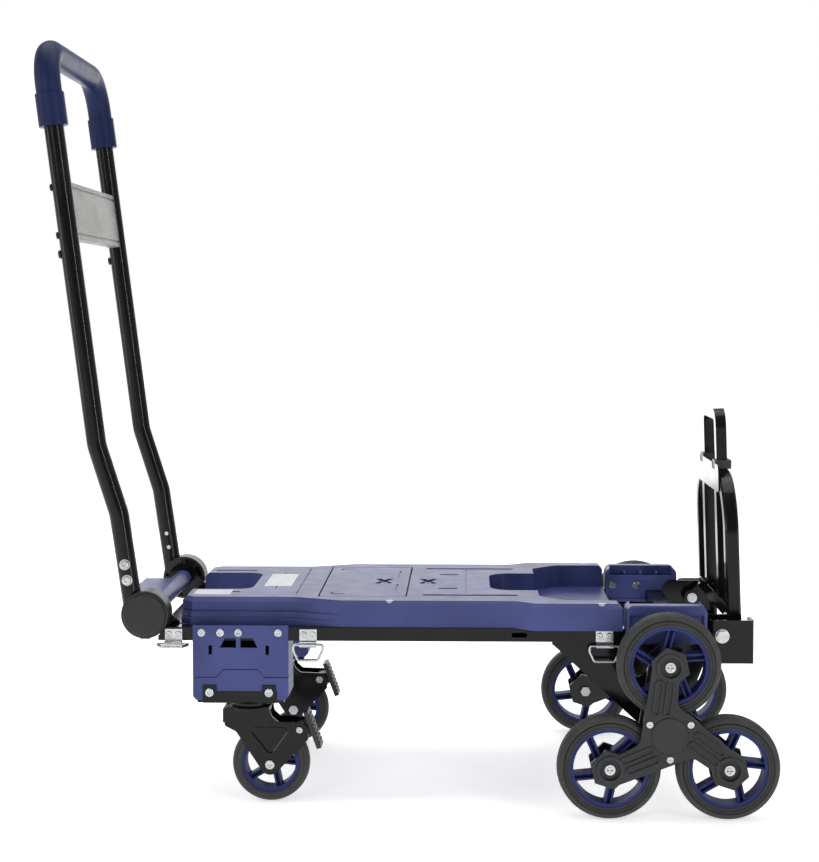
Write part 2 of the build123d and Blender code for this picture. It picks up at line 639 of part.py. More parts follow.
def wheel_rim(x, z, y_mid, ring, ring_w, hub_r, hub_w, bore, spokes, first):
    """Moulded rim: outer ring, hub, and webbed pairs of spoke bars set off the radius."""
    outer, inner = ring
    pair_gap, bar_t, shift, spoke_w = spokes
    with BuildPart() as rim:
        bar_along_y(x, z, y_mid - ring_w / 2, y_mid + ring_w / 2, outer)
        bar_along_y(x, z, y_mid - ring_w, y_mid + ring_w, inner, Mode.SUBTRACT)
        bar_along_y(x, z, y_mid - hub_w / 2, y_mid + hub_w / 2, hub_r)
        reach = inner / 2
        spots = []
        webs = []
        for k in range(5):
            angle = math.radians(first + 72 * k)
            cx = x + reach * math.cos(angle) - shift * math.sin(angle)
            cz = z + reach * math.sin(angle) + shift * math.cos(angle)
            webs.append(Location((cx, y_mid, cz), (0, -math.degrees(angle), 0)))
            for off in (shift - pair_gap / 2, shift + pair_gap / 2):
                cx = x + reach * math.cos(angle) - off * math.sin(angle)
                cz = z + reach * math.sin(angle) + off * math.cos(angle)
                spots.append(Location((cx, y_mid, cz), (0, -math.degrees(angle), 0)))
        with Locations(*spots):
            Box(inner + 2, spoke_w, bar_t)
        with Locations(*webs):
            Box(inner + 2, spoke_w * 0.3, pair_gap)
        bar_along_y(x, z, y_mid - hub_w, y_mid + hub_w, bore, Mode.SUBTRACT)
    return rim.part


caster_rim = wheel_rim(CASTER_X, CASTER_R, -CASTER_Y, (37, 32), 26, 9, 32, BOLT_R + RUN_FIT,
                       (6, 2.4, 4, 16), 66)
save_pair(caster_rim, "caster_rim")

# ---------------------------------------------------------------- brake pedals
SHOE_GAP = 0.5
with BuildPart() as brake_pedal:
    bar_along_y(BRAKE_X, BRAKE_Z, -CASTER_Y - 16, -CASTER_Y + 16, 6.5)
    with BuildSketch(Plane.XZ.offset(CASTER_Y)):
        with BuildLine():
            Polyline((BRAKE_X, BRAKE_Z + 6.5), (-119, 103), (-112, 88), (BRAKE_X, BRAKE_Z - 6.5),
                     close=True)
        make_face()
    extrude(amount=11, both=True)
    slope = math.degrees(math.atan2(18, 48))
    with Locations(Location((-114.6, -CASTER_Y, 93.5), (0, -slope, 0))):
        Box(6, 32, 50)
        for k in range(7):
            with Locations((3.4, 0, -18 + 6 * k)):
                Box(1.6, 26, 2.4)
    # shoe arm that reaches towards the tyre
    reach = math.hypot(CASTER_X - BRAKE_X, CASTER_R - BRAKE_Z) - CASTER_R - SHOE_GAP
    aim = math.degrees(math.atan2(CASTER_R - BRAKE_Z, CASTER_X - BRAKE_X))
    middle = reach / 2
    with Locations(Location((BRAKE_X + middle * math.cos(math.radians(aim)), -CASTER_Y,
                             BRAKE_Z + middle * math.sin(math.radians(aim))), (0, -aim, 0))):
        Box(reach, 22, 3.6)
    bar_along_y(BRAKE_X, BRAKE_Z, -CASTER_Y - 20, -CASTER_Y + 20, BRAKE_PIN_R + RUN_FIT,
                Mode.SUBTRACT)
save_pair(brake_pedal.part, "brake_pedal")

# ---------------------------------------------------------------- star wheels
STAR_GAP = 0.5            # side clearance of a wheel hub between the star plates
STAR_IN = STAR_Y - 17 - STAR_GAP
STAR_OUT = STAR_Y + 17 + STAR_GAP
STAR_T = 5.5
STAR_BOLT_R = 4.0
STAR_ANGLES = (90, 210, 330)
RIM_TURN = (76, 114, 66)  # angle of the first spoke pair of each wheel
STAR_CAP_R = 23.0
RIB_H = 2.2               # raised ribs and bosses of the star plate
BOSS_R = 17.0             # ring round each wheel bolt, and the depth of its recess
BOSS_DEPTH = 3.2


def star_plane(y):
    """Plane facing outward on the right-hand side, centred on the star axle."""
    return Plane(origin=(STAR_X, -y, STAR_Z), x_dir=(1, 0, 0), z_dir=(0, -1, 0))


def turned(x, z, angle):
    c, s = math.cos(math.radians(angle)), math.sin(math.radians(angle))
    return (x * c - z * s, x * s + z * c)


def star_outline():
    """Three arms, straight on one edge and curved on the other, with hexagon ends."""
    arm = ((-22, STAR_ARM - 1), (12, STAR_ARM - 5), (9, 38))
    points = [turned(x, z, -120 * k) for k in range(3) for x, z in arm]
    corner_r = math.hypot(*arm[2])
    with BuildSketch(mode=Mode.PRIVATE) as outline:
        with BuildLine():
            Polyline(*points, close=True)
        make_face()
        inner = outline.vertices().filter_by(lambda v: math.hypot(v.X, v.Y) < corner_r + 1)
        fillet(inner, 13)
        with PolarLocations(STAR_ARM, 3, start_angle=90):
            RegularPolygon(25, 6, rotation=12)
    return outline.sketch


with BuildPart() as star_outer:
    with BuildSketch(star_plane(STAR_OUT)):
        add(star_outline())
    extrude(amount=STAR_T)
    chamfer(star_outer.faces().sort_by(Axis.Y)[0].edges(), 0.8)
    with BuildSketch(star_plane(STAR_OUT + STAR_T)):
        with PolarLocations(STAR_ARM - 38, 3, start_angle=90):
            for off in (15.5, 1.5):
                with Locations(Location((0, off, 0), (0, 0, -7))):
                    SlotOverall(45, 10.5)
                    SlotOverall(41, 6, mode=Mode.SUBTRACT)
        with PolarLocations(STAR_ARM, 3, start_angle=90):
            Circle(BOSS_R)
    extrude(amount=RIB_H)
    # sleeve between the plates and the bores
    with BuildSketch(star_plane(STAR_IN)):
        Circle(17)
    extrude(amount=STAR_OUT - STAR_IN)
    with BuildSketch(star_plane(STAR_OUT + STAR_T)):
        Circle(13.5)
    extrude(amount=-4.4, mode=Mode.SUBTRACT)
    with BuildSketch(star_plane(STAR_OUT + STAR_T + RIB_H)):
        with PolarLocations(STAR_ARM, 3, start_angle=90):
            Circle(BOSS_R - 4)
    extrude(amount=-RIB_H - BOSS_DEPTH, mode=Mode.SUBTRACT)
    with BuildSketch(star_plane(STAR_OUT + STAR_T + RIB_H)):
        Circle(AXLE_HOLE)
        with PolarLocations(STAR_ARM, 3, start_angle=90):
            Circle(STAR_BOLT_R)
        with PolarLocations(29, 3, start_angle=30):
            Circle(2)
    extrude(amount=-60, mode=Mode.SUBTRACT)
with BuildPart() as star_inner:
    with BuildSketch(star_plane(STAR_IN - STAR_T)) as inner_plate:
        add(star_outline())
        Circle(AXLE_HOLE, mode=Mode.SUBTRACT)
        with PolarLocations(STAR_ARM, 3, start_angle=90):
            Circle(STAR_BOLT_R, mode=Mode.SUBTRACT)
    extrude(amount=STAR_T)
with BuildPart() as star_cap:
    with BuildSketch(star_plane(STAR_OUT + STAR_T)):
        Circle(STAR_CAP_R)
    extrude(amount=1.8)
    chamfer(star_cap.faces().sort_by(Axis.Y)[0].edges(), 0.8)
save_pair(bundle(star_outer.part, star_inner.part, star_cap.part), "star_frame")

# wheel bolts with nuts behind, and three cover screws
cover_screw = pan_screw(4.4, 2.2, 2.0, 5.0)
with BuildPart() as star_bolts:
    for angle in STAR_ANGLES:
        x, z = turned(STAR_ARM, 0, angle)
        bar_along_y(STAR_X + x, STAR_Z + z, -(STAR_OUT + STAR_T + 1), -(STAR_IN - STAR_T),
                    STAR_BOLT_R)
        with Locations(star_plane(STAR_OUT + 2.3).location * Location((x, z, 0))):
            Cylinder(6.5, 3.4, align=LOW)
        with Locations(star_plane(STAR_OUT + 5.7).location * Location((x, z, 0))):
            Box(8, 1.8, 4, mode=Mode.SUBTRACT)
            Box(1.8, 8, 4, mode=Mode.SUBTRACT)
        with BuildSketch(star_plane(STAR_IN - STAR_T)):
            with Locations((x, z)):
                RegularPolygon(7.5, 6)
        extrude(amount=-5)
    place(cover_screw,
          [star_plane(STAR_OUT + STAR_T).shift_origin(
              star_plane(STAR_OUT + STAR_T).from_local_coords(turned(29, 0, a)))
           for a in (30, 150, 270)])
save_pair(star_bolts.part, "star_bolts")

for number, angle in enumerate(STAR_ANGLES, start=1):
    x, z = turned(STAR_ARM, 0, angle)
    wx, wz = STAR_X + x, STAR_Z + z
    with BuildPart() as star_tyre:
        bar_along_y(wx, wz, -STAR_Y - WHEEL_W / 2, -STAR_Y + WHEEL_W / 2, WHEEL_R)
        fillet(star_tyre.edges(), 7)
        bar_along_y(wx, wz, -STAR_Y - 20, -STAR_Y + 20, 49, Mode.SUBTRACT)
    save_pair(star_tyre.part, f"star{number}_tyre")
    rim = wheel_rim(wx, wz, -STAR_Y, (49, 44.6), 28, 11, 34, STAR_BOLT_R + RUN_FIT,
                    (7, 2.6, 8, 20), RIM_TURN[number - 1])
    save_pair(rim, f"star{number}_rim")

# axle across the trolley, with an end washer and an inner collar on each side
with BuildPart() as star_axle:
    bar_along_y(STAR_X, STAR_Z, -(STAR_OUT + 3), STAR_OUT + 3, AXLE_R)
    for side in (-1, 1):
        y0, y1 = sorted((side * (STAR_OUT + 1.3), side * (STAR_OUT + 3.5)))
        bar_along_y(STAR_X, STAR_Z, y0, y1, 12)
        y0, y1 = sorted((side * 176, side * (STAR_IN - STAR_T - 0.6)))
        bar_along_y(STAR_X, STAR_Z, y0, y1, 12)
save(star_axle.part, "star_axle")

# ---------------------------------------------------------------- handle
CROWN_X = -LENGTH / 2 + GRIP_R
CROWN_Z = HEIGHT - GRIP_R
CROWN_BEND = 48.0
FOOT = (-346.6, 252.0)
KNEE = (-363.6, 370.0)
ELBOW = (-391.6, 458.0)
BEND_R = 60.0
GRIP_FOOT_Z = 865.0
GRIP_BORE = TUBE_R + 0.1
PLATE_Z = 758.5           # middle of the cross plate
PLATE_H = 74.0


def on_leg(z):
    """X of the leg axis at a height on its long straight stretch."""
    return ELBOW[0] + (CROWN_X - ELBOW[0]) * (z - ELBOW[1]) / (CROWN_Z - ELBOW[1])


LEG_TILT = math.degrees(math.atan2(ELBOW[0] - CROWN_X, CROWN_Z - ELBOW[1]))
LEG_UP = Vector(CROWN_X - ELBOW[0], 0, CROWN_Z - ELBOW[1]).normalized()
FOOT_UP = Vector(KNEE[0] - FOOT[0], 0, KNEE[1] - FOOT[1]).normalized()
LEG_BOLTS_Z = (286.0, 306.0)
PLATE_SCREWS_Z = (728.0, 789.0)
BUTTON_Z = 704.0


def foot_x(z):
    """X of the leg axis at a height on its lowest stretch."""
    return FOOT[0] + (KNEE[0] - FOOT[0]) * (z - FOOT[1]) / (KNEE[1] - FOOT[1])


def leg_face(z, side):
    """Plane on the rear face of a leg, its normal pointing away from the load."""
    normal = Vector(-LEG_UP.Z, 0, LEG_UP.X)
    origin = Vector(on_leg(z), side * LEG_Y, z) + normal * TUBE_R
    return Plane(origin=origin, x_dir=(0, 1, 0), z_dir=normal)


with BuildPart() as handle_tube:
    with BuildLine() as route:
        FilletPolyline(
            (FOOT[0], -LEG_Y, FOOT[1]), (KNEE[0], -LEG_Y, KNEE[1]), (ELBOW[0], -LEG_Y, ELBOW[1]),
            (CROWN_X, -LEG_Y, CROWN_Z), (CROWN_X, LEG_Y, CROWN_Z),
            (ELBOW[0], LEG_Y, ELBOW[1]), (KNEE[0], LEG_Y, KNEE[1]), (FOOT[0], LEG_Y, FOOT[1]),
            radius=[BEND_R, BEND_R, CROWN_BEND, CROWN_BEND, BEND_R, BEND_R])
    with BuildSketch(Plane(origin=route.line @ 0, z_dir=route.line % 0)):
        Circle(TUBE_R)
        Circle(TUBE_R - 1.6, mode=Mode.SUBTRACT)
    sweep(path=route.line)
    for side in (-1, 1):
        for z in LEG_BOLTS_Z:
            bar_along_y(foot_x(z), z, side * LEG_Y - 20, side * LEG_Y + 20, 3.0, Mode.SUBTRACT)
        for z in (*PLATE_SCREWS_Z, BUTTON_Z):
            with Locations(leg_face(z, side).location):
                Cylinder(2.0, 6, mode=Mode.SUBTRACT)
save(handle_tube.part, "handle_tube")

with BuildPart() as handle_grip:
    with BuildLine() as grip_route:
        FilletPolyline(
            (on_leg(GRIP_FOOT_Z), -LEG_Y, GRIP_FOOT_Z), (CROWN_X, -LEG_Y, CROWN_Z),
            (CROWN_X, LEG_Y, CROWN_Z), (on_leg(GRIP_FOOT_Z), LEG_Y, GRIP_FOOT_Z),
            radius=[CROWN_BEND, CROWN_BEND])
    with BuildSketch(Plane(origin=grip_route.line @ 0, z_dir=grip_route.line % 0)):
        Circle(GRIP_R)
        Circle(GRIP_BORE, mode=Mode.SUBTRACT)
    sweep(path=grip_route.line)
    for side in (-1, 1):
        with BuildSketch(Plane(origin=(on_leg(GRIP_FOOT_Z), side * LEG_Y, GRIP_FOOT_Z),
                               z_dir=LEG_UP)):
            Circle(GRIP_R + 2)
            Circle(GRIP_BORE, mode=Mode.SUBTRACT)
        extrude(amount=42)
save(handle_grip.part, "handle_grip")

# grooved cross plate between the legs
with BuildPart() as handle_plate:
    with Locations(Location((on_leg(PLATE_Z), 0, PLATE_Z), (0, -LEG_TILT, 0))):
        Box(12, 2 * (LEG_Y - TUBE_R) - 0.4, PLATE_H)
        for z in (7 - PLATE_H / 2, PLATE_H / 2 - 7):
            for x in (-6, 6):
                with Locations((x, 0, z)):
                    Box(3, 400, 3, mode=Mode.SUBTRACT)
        with Locations((-2.5, 0, 0)):
            Box(9, 2 * (LEG_Y - TUBE_R) - 6, PLATE_H - 10, mode=Mode.SUBTRACT)
save(handle_plate.part, "handle_plate")

HUB_IN = 146.0
HUB_OUT = 178.0
with BuildPart() as hub:
    bar_along_y(PIVOT_X, PIVOT_Z, -HUB_OUT, -HUB_IN, HUB_R)
    fillet(hub.edges().group_by(Axis.Y)[0], 2)
    # spoked hollow in the inner face
    with BuildSketch(Plane.XZ.offset(HUB_IN)):
        with Locations((PIVOT_X, PIVOT_Z)):
            Circle(27)
            Circle(13, mode=Mode.SUBTRACT)
            with PolarLocations(20, 8):
                Rectangle(20, 3, mode=Mode.SUBTRACT)
        with BuildSketch(mode=Mode.PRIVATE) as socket:
            with Locations((FOOT[0] - 3, FOOT[1] + 20)):
                Rectangle(36, 48)
        add(socket.sketch, mode=Mode.SUBTRACT)
    extrude(amount=8, mode=Mode.SUBTRACT)
    with BuildSketch(Plane(origin=(FOOT[0], -LEG_Y, FOOT[1]), z_dir=FOOT_UP)):
        Circle(TUBE_R + 0.05)
    extrude(amount=60, mode=Mode.SUBTRACT)
    bar_along_y(PIVOT_X, PIVOT_Z, -HUB_OUT - 1, -HUB_IN + 1, AXLE_HOLE, Mode.SUBTRACT)
with BuildPart() as hub_cover:
    bar_along_y(PIVOT_X, PIVOT_Z, -HUB_OUT - 4, -HUB_OUT, 26.5)
    fillet(hub_cover.edges().group_by(Axis.Y)[0], 1.5)
    block(PIVOT_X - 5, PIVOT_X + 7, -HUB_OUT - 3, -HUB_OUT, PIVOT_Z - 30, PIVOT_Z - 20)
    bar_along_y(PIVOT_X, PIVOT_Z, -HUB_OUT - 2.4, -HUB_OUT + 1, AXLE_R + 4, Mode.SUBTRACT)
save(bundle(hub.part, hub_cover.part, mirror(hub.part, about=Plane.XZ),
            mirror(hub_cover.part, about=Plane.XZ)), "handle_hubs")

leg_bolt = hex_bolt(5.5, 3.2, 6.9, 3.0, 24)
with BuildPart() as handle_bolts:
    for side in (-1, 1):
        place(leg_bolt, [outward(foot_x(z), side * (LEG_Y + TUBE_R), z, side)
                         for z in LEG_BOLTS_Z])
save(handle_bolts.part, "handle_bolts")

leg_screw = pan_screw(4.6, 2.8, 2.0, 1.6)
leg_button = pan_screw(5.4, 3.2, 2.0, 1.6)
with BuildPart() as handle_buttons:
    for side in (-1, 1):
        place(leg_screw, [leg_face(z, side) for z in PLATE_SCREWS_Z])
        place(leg_button, [leg_face(BUTTON_Z, side)])
save(handle_buttons.part, "handle_buttons")

# ---------------------------------------------------------------- release pedal and bar
BAR_R = 12.0
PEDAL_Y = 60.0
PEDAL_X0 = -370.0
with BuildPart() as release_pedal:
    bar_along_y(PIVOT_X, PIVOT_Z, -PEDAL_Y, PEDAL_Y, BAR_R)
    block(PEDAL_X0, PIVOT_X, -PEDAL_Y, PEDAL_Y, PIVOT_Z + 7, PIVOT_Z + BAR_R)
    block(PEDAL_X0, PEDAL_X0 + 5, -PEDAL_Y, PEDAL_Y, PIVOT_Z - 6, PIVOT_Z + BAR_R)
    for y in (-50, -17, 17, 50):
        block(PEDAL_X0, PIVOT_X, y - 2, y + 2, PIVOT_Z - 4, PIVOT_Z + BAR_R)
    fillet(release_pedal.edges().filter_by(Axis.Y).group_by(Axis.X)[0], 2)
    bar_along_y(PIVOT_X, PIVOT_Z, -PEDAL_Y - 1, PEDAL_Y + 1, AXLE_HOLE, Mode.SUBTRACT)
save(release_pedal.part, "release_pedal")

with BuildPart() as release_bar:
    for side in (-1, 1):
        y0, y1 = sorted((side * (PEDAL_Y + 0.4), side * (CHEEK_Y - CHEEK_T / 2 - 0.1)))
        bar_along_y(PIVOT_X, PIVOT_Z, y0, y1, BAR_R)
        bar_along_y(PIVOT_X, PIVOT_Z, y0 - 1, y1 + 1, AXLE_R, Mode.SUBTRACT)
save(release_bar.part, "release_bar")

# ---------------------------------------------------------------- toe rack
RACK_A0 = 12.5            # rack tubes, measured from the pivot while the rack is upright
RACK_A1 = 30.5
RACK_MID = (RACK_A0 + RACK_A1) / 2
RACK_LEG_OUT = 143.0
RACK_TUBE = 18.0
RACK_H = 202.0
RACK_BASE = 13.0
RACK_CORNER = 79.0
INNER_Y = 60.0
BORE = 14.2               # square bore of the guide tubes
SLIDER = 14.0             # section of the sliding tube
SLIDER_H = 281.0
GUIDE_A = (11.5, 32.5)
RACK_AXIS = Axis((RACK_X, 0, RACK_Z), (0, 1, 0))


def rack_plane(a):
    """Plane facing +X at a distance from the rack pivot, centred on the pivot."""
    return Plane(origin=(RACK_X + a, 0, RACK_Z), x_dir=(0, 1, 0), z_dir=(1, 0, 0))


def rack_block(a0, a1, y0, y1, b0, b1, mode=Mode.ADD):
    block(RACK_X + a0, RACK_X + a1, y0, y1, RACK_Z + b0, RACK_Z + b1, mode)


def rounded_top(half, top, base, radius):
    """Upright panel with two rounded top corners."""
    with BuildSketch(mode=Mode.PRIVATE) as panel:
        with Locations((0, (top + base) / 2)):
            Rectangle(2 * half, top - base)
        fillet(panel.vertices().group_by(Axis.Y)[-1], radius)
    return panel.sketch


with BuildPart() as rack_frame:
    with BuildSketch(rack_plane(RACK_A0)):
        add(rounded_top(RACK_LEG_OUT, RACK_H, RACK_BASE, RACK_CORNER))
        add(rounded_top(RACK_LEG_OUT - RACK_TUBE, RACK_H - RACK_TUBE, RACK_BASE - 1,
                        RACK_CORNER - RACK_TUBE), mode=Mode.SUBTRACT)
    extrude(amount=RACK_TUBE)
    outer_edges = rack_frame.edges().filter_by(lambda e: e.center().Z > RACK_Z + RACK_BASE + 1)
    chamfer(outer_edges.group_by(Axis.X)[0] + outer_edges.group_by(Axis.X)[-1], 2.5)
    rack_block(RACK_A0, RACK_A1, -RACK_LEG_OUT + 2, RACK_LEG_OUT - 2, RACK_BASE, RACK_BASE + 18)
    for side in (-1, 1):
        y0, y1 = sorted((side * (RACK_LEG_OUT - RACK_TUBE), side * RACK_LEG_OUT))
        with BuildSketch(Plane.XZ.offset(-y0)):
            with BuildLine():
                Polyline((RACK_X, RACK_Z - 10), (RACK_X + RACK_A1, RACK_Z - 4),
                         (RACK_X + RACK_A1, RACK_Z + RACK_BASE + 8),
                         (RACK_X + RACK_A0, RACK_Z + RACK_BASE + 8), (RACK_X, RACK_Z + 11),
                         close=True)
            make_face()
            with Locations((RACK_X, RACK_Z)):
                Circle(11)
        extrude(amount=-(y1 - y0))
        # square guide tubes between base bar and top bar
        y0, y1 = sorted((side * (INNER_Y - RACK_TUBE / 2), side * (INNER_Y + RACK_TUBE / 2)))
        rack_block(RACK_A0, RACK_A1, y0, y1, RACK_BASE + 18, RACK_H - RACK_TUBE)
        y0, y1 = sorted((side * (INNER_Y - BORE / 2), side * (INNER_Y + BORE / 2)))
        rack_block(RACK_MID - BORE / 2, RACK_MID + BORE / 2, y0, y1, RACK_BASE + 18, RACK_H + 1,
                   Mode.SUBTRACT)
    bar_along_y(RACK_X, RACK_Z, -200, 200, PIN_R + RUN_FIT, Mode.SUBTRACT)

with BuildPart() as rack_plate:
    rack_block(RACK_A0 - 1.5, RACK_A0, -104, 104, RACK_H - 28, RACK_H + 8)
    fillet(rack_plate.edges().filter_by(Axis.X), 8)
    for side in (-1, 1):
        y0, y1 = sorted((side * (INNER_Y - 14.2), side * (INNER_Y + 14.2)))
        rack_block(RACK_A0 - 2, RACK_A0 + 1, y0, y1, RACK_H - 0.2, RACK_H + 9, Mode.SUBTRACT)

with BuildPart() as rack_guides:
    for side in (-1, 1):
        y0, y1 = sorted((side * (INNER_Y - 14), side * (INNER_Y + 14)))
        rack_block(*GUIDE_A, y0, y1, RACK_H, RACK_H + 12)
        for z in (3.5, 7.5):
            rack_block(GUIDE_A[1], GUIDE_A[1] + 1, y0 + 2, y1 - 2, RACK_H + z, RACK_H + z + 1.6)
        y0, y1 = sorted((side * (INNER_Y - BORE / 2), side * (INNER_Y + BORE / 2)))
        rack_block(RACK_MID - BORE / 2, RACK_MID + BORE / 2, y0, y1, RACK_H - 1, RACK_H + 13, Mode.SUBTRACT)

with BuildPart() as rack_slider:
    with BuildSketch(rack_plane(RACK_MID - SLIDER / 2)):
        add(rounded_top(INNER_Y + SLIDER / 2, SLIDER_H, 100, 25))
        add(rounded_top(INNER_Y - SLIDER / 2, SLIDER_H - SLIDER, 99, 11), mode=Mode.SUBTRACT)
    extrude(amount=SLIDER)

for piece, name in ((rack_frame, "rack_frame"), (rack_plate, "rack_plate"),
                    (rack_guides, "rack_guides"), (rack_slider, "rack_slider")):
    save(piece.part.rotate(RACK_AXIS, RACK_LEAN), name)

# pins of the handle and of the rack, fixed to the frame
with BuildPart() as pivot_pins:
    bar_along_y(PIVOT_X, PIVOT_Z, -HUB_OUT - 2, HUB_OUT + 2, AXLE_R)
    for side in (-1, 1):
        y0, y1 = sorted((side * 122, side * BOX_OUT))
        bar_along_y(RACK_X, RACK_Z, y0, y1, PIN_R)
        with BuildSketch(outward(RACK_X, side * BOX_OUT, RACK_Z, side)):
            Circle(9)
        extrude(amount=1.5)
        with BuildSketch(outward(RACK_X, side * (BOX_OUT + 1.5), RACK_Z, side)):
            RegularPolygon(8, 6)
        extrude(amount=4)
save(pivot_pins.part, "pivot_pins")

# ---------------------------------------------------------------- tie-down rings
RING_PLACES = ((-292, 90), (-119.6, 0), (258.4, 0))   # X and swing at rest in degrees
RING_Z = 205.0
RING_Y = RAIL_OUT + 5.2
WIRE_R = 1.8
with BuildPart() as dring_mounts:
    for x, swing in RING_PLACES:
        block(x - 11, x + 11, -RAIL_OUT - 2, -RAIL_OUT, RING_Z, 224)
        bar = Location((x, -RING_Y, RING_Z), (0, 90, 0))
        with Locations(bar):
            Cylinder(WIRE_R + 2.0, 22)
        block(x - 11, x + 11, -RING_Y, -RAIL_OUT, RING_Z, RING_Z + 3.4)
        with Locations(bar):
            Cylinder(WIRE_R + RUN_FIT, 40, mode=Mode.SUBTRACT)
        for dx in (-6, 6):
            bar_along_y(x + dx, 217.5, -RAIL_OUT - 5, -RAIL_OUT + 1, 2.0, Mode.SUBTRACT)
    mirror(about=Plane.XZ)
save(dring_mounts.part, "dring_mounts")

for number, (x, swing) in enumerate(RING_PLACES, start=1):
    with BuildPart() as dring:
        with BuildLine() as loop:
            FilletPolyline((x + 19, -RING_Y, RING_Z), (x + 19, -RING_Y, RING_Z - 7),
                           (x + 13, -RING_Y, RING_Z - 20), (x - 13, -RING_Y, RING_Z - 20),
                           (x - 19, -RING_Y, RING_Z - 7), (x - 19, -RING_Y, RING_Z),
                           close=True, radius=3.4)
        with BuildSketch(Plane(origin=loop.line @ 0, z_dir=loop.line % 0)):
            Circle(WIRE_R)
        sweep(path=loop.line)
    swung = dring.part.rotate(Axis((x, -RING_Y, RING_Z), (1, 0, 0)), -swing)
    save_pair(swung, f"dring{number}")

# ---------------------------------------------------------------- fixed fasteners
plate_screw = pan_screw(5.6, 2.8, 2.0, 2.0)
rivet = pan_screw(3.9, 1.8, 2.0, 2.0)
block_screw = pan_screw(5.2, 1.4, 2.0, 6.0)
with BuildPart() as base_fasteners:
    for x, z in SHELL_SCREWS:
        place(screw, [outward(x, -HOUSE_OUT, z)])
    for x, z in PLATE_SCREWS:
        place(plate_screw, [outward(x, -HOUSE_OUT - 0.5, z)])
    for x, swing in RING_PLACES:
        place(rivet, [outward(x + dx, -RAIL_OUT - 2, 217.5) for dx in (-6, 6)])
    for x in (BLOCK_X0 + 10, BLOCK_X0 + 44):
        place(block_screw, [outward(x, -BLOCK_IN - 1.5, 233.5, 1)])
    mirror(about=Plane.XZ)
save(base_fasteners.part, "base_fasteners")
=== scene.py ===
"""Looks of the stair climbing trolley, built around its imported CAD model.

Lengths are in metres, lamp powers in watts, and colours in linear RGB.
"""

import json
import math

import bmesh
import bpy
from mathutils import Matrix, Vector


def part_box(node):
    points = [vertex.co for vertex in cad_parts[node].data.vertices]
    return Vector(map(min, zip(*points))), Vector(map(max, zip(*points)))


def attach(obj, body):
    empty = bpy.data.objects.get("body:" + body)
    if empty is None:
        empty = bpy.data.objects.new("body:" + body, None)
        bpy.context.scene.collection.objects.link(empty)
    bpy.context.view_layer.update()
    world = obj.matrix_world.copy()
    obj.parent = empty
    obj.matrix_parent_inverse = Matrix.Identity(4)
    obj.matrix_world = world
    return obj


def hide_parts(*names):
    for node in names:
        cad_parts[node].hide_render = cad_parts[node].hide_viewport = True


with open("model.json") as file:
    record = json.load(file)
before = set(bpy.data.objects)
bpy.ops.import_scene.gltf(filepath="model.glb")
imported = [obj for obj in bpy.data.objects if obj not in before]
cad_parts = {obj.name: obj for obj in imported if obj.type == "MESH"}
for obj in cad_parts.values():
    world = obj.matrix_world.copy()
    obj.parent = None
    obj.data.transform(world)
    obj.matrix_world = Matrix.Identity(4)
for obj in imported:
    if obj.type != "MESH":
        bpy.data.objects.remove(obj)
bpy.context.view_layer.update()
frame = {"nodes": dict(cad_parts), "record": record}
scene = bpy.context.scene
scene.view_settings.view_transform = "Standard"

WHITE = (1.0, 1.0, 1.0)

CAMERA_AT = (0.08196, -2.45291, 0.63205)
CAMERA_YAW = math.radians(1.421)
CAMERA_PITCH = math.radians(2.766)
CAMERA_LENS = 75.198
CAMERA_SENSOR = 36.0
CAMERA_SHIFT = (-0.014, -0.040)
CAMERA_REACH = 200.0

FLOOR_RADIUS = 60.0
FLOOR_SEGMENTS = 128
GLOW_FROM, GLOW_TO = 1.2, 6.0        # distances between which the floor's own glow rises
GLOW_NEAR, GLOW_FAR = 0.55, 0.72     # the glow there: it joins the floor to the background

ROOM_FROM, ROOM_TO = -0.7, 0.9       # Y of a direction, from the camera's side to the far side
ROOM_FRONT, ROOM_REAR = 0.16, 0.66   # brightness of the room in those directions

LAMPS = (                            # name, place, aim, width and height, power
    ("top_box", (0.0, 0.3, 2.6), (0.0, 0.0, 0.2), (2.6, 1.8), 30.0),
    ("front_box", (-1.4, -2.7, 1.7), (0.0, 0.0, 0.30), (1.0, 1.3), 16.0),
    ("right_strip", (1.55, -1.75, 0.9), (-0.1, 0.0, 0.5), (0.12, 2.2), 16.0),
    ("left_strip", (-2.2, -0.6, 1.1), (-0.2, 0.0, 0.5), (0.30, 1.9), 8.0),
    ("rear_box", (-0.3, 2.6, 0.80), (-0.1, 0.0, 0.4), (2.4, 1.4), 16.0),
)

BEVEL_SAMPLES = 4
EDGE_CLEAR_OF_WEAR_AND_HIGHLIGHT = 0.02                   # part of an edge's width before its mark starts: wear, and on moulded plastic partly a painted highlight
MIX_FACTOR, MIX_FIRST, MIX_SECOND, MIX_RESULT = 0, 6, 7, 2   # the Mix node's colour sockets
PATCH_DARK, PATCH_LIGHT, PATCH_LIFT = 0.80, 1.16, 0.002      # tones of patchy plastic
PLASTIC_SMOOTHER, PLASTIC_ROUGHER = 0.03, 0.04               # spread of plastic's roughness
CHIP_DULLING = 0.3                   # roughness that a chip in the paint adds
PLATE_WEAR = 0.4                     # strength of the wear on zinc plated edges

TYRE_SEGMENTS = 112
SHARP_ANGLE = math.radians(50.0)
SHOULDER = 0.0085
SHOULDER_STEPS = 8
SHOULDER_INSET = 0.0004
SEAM_HEIGHT, SEAM_HALF = 0.0003, 0.0007                      # the mould line round the tread
TREAD_HALF = 0.0040
# Side of a tyre by the rim, with its sunk ring: depth below the side, height above the bore.
RIM_SIDE = (
    (0.0012, 0.0), (0.0004, 0.0007), (0.0004, 0.0022),
    (0.0014, 0.0027), (0.0014, 0.0036), (0.0003, 0.0042),
)
# The step before the shoulder: depth below the side, distance inside the shoulder.
SHOULDER_SIDE = ((0.0001, 0.0022), (0.0006, 0.0018), (0.0006, 0.0010))


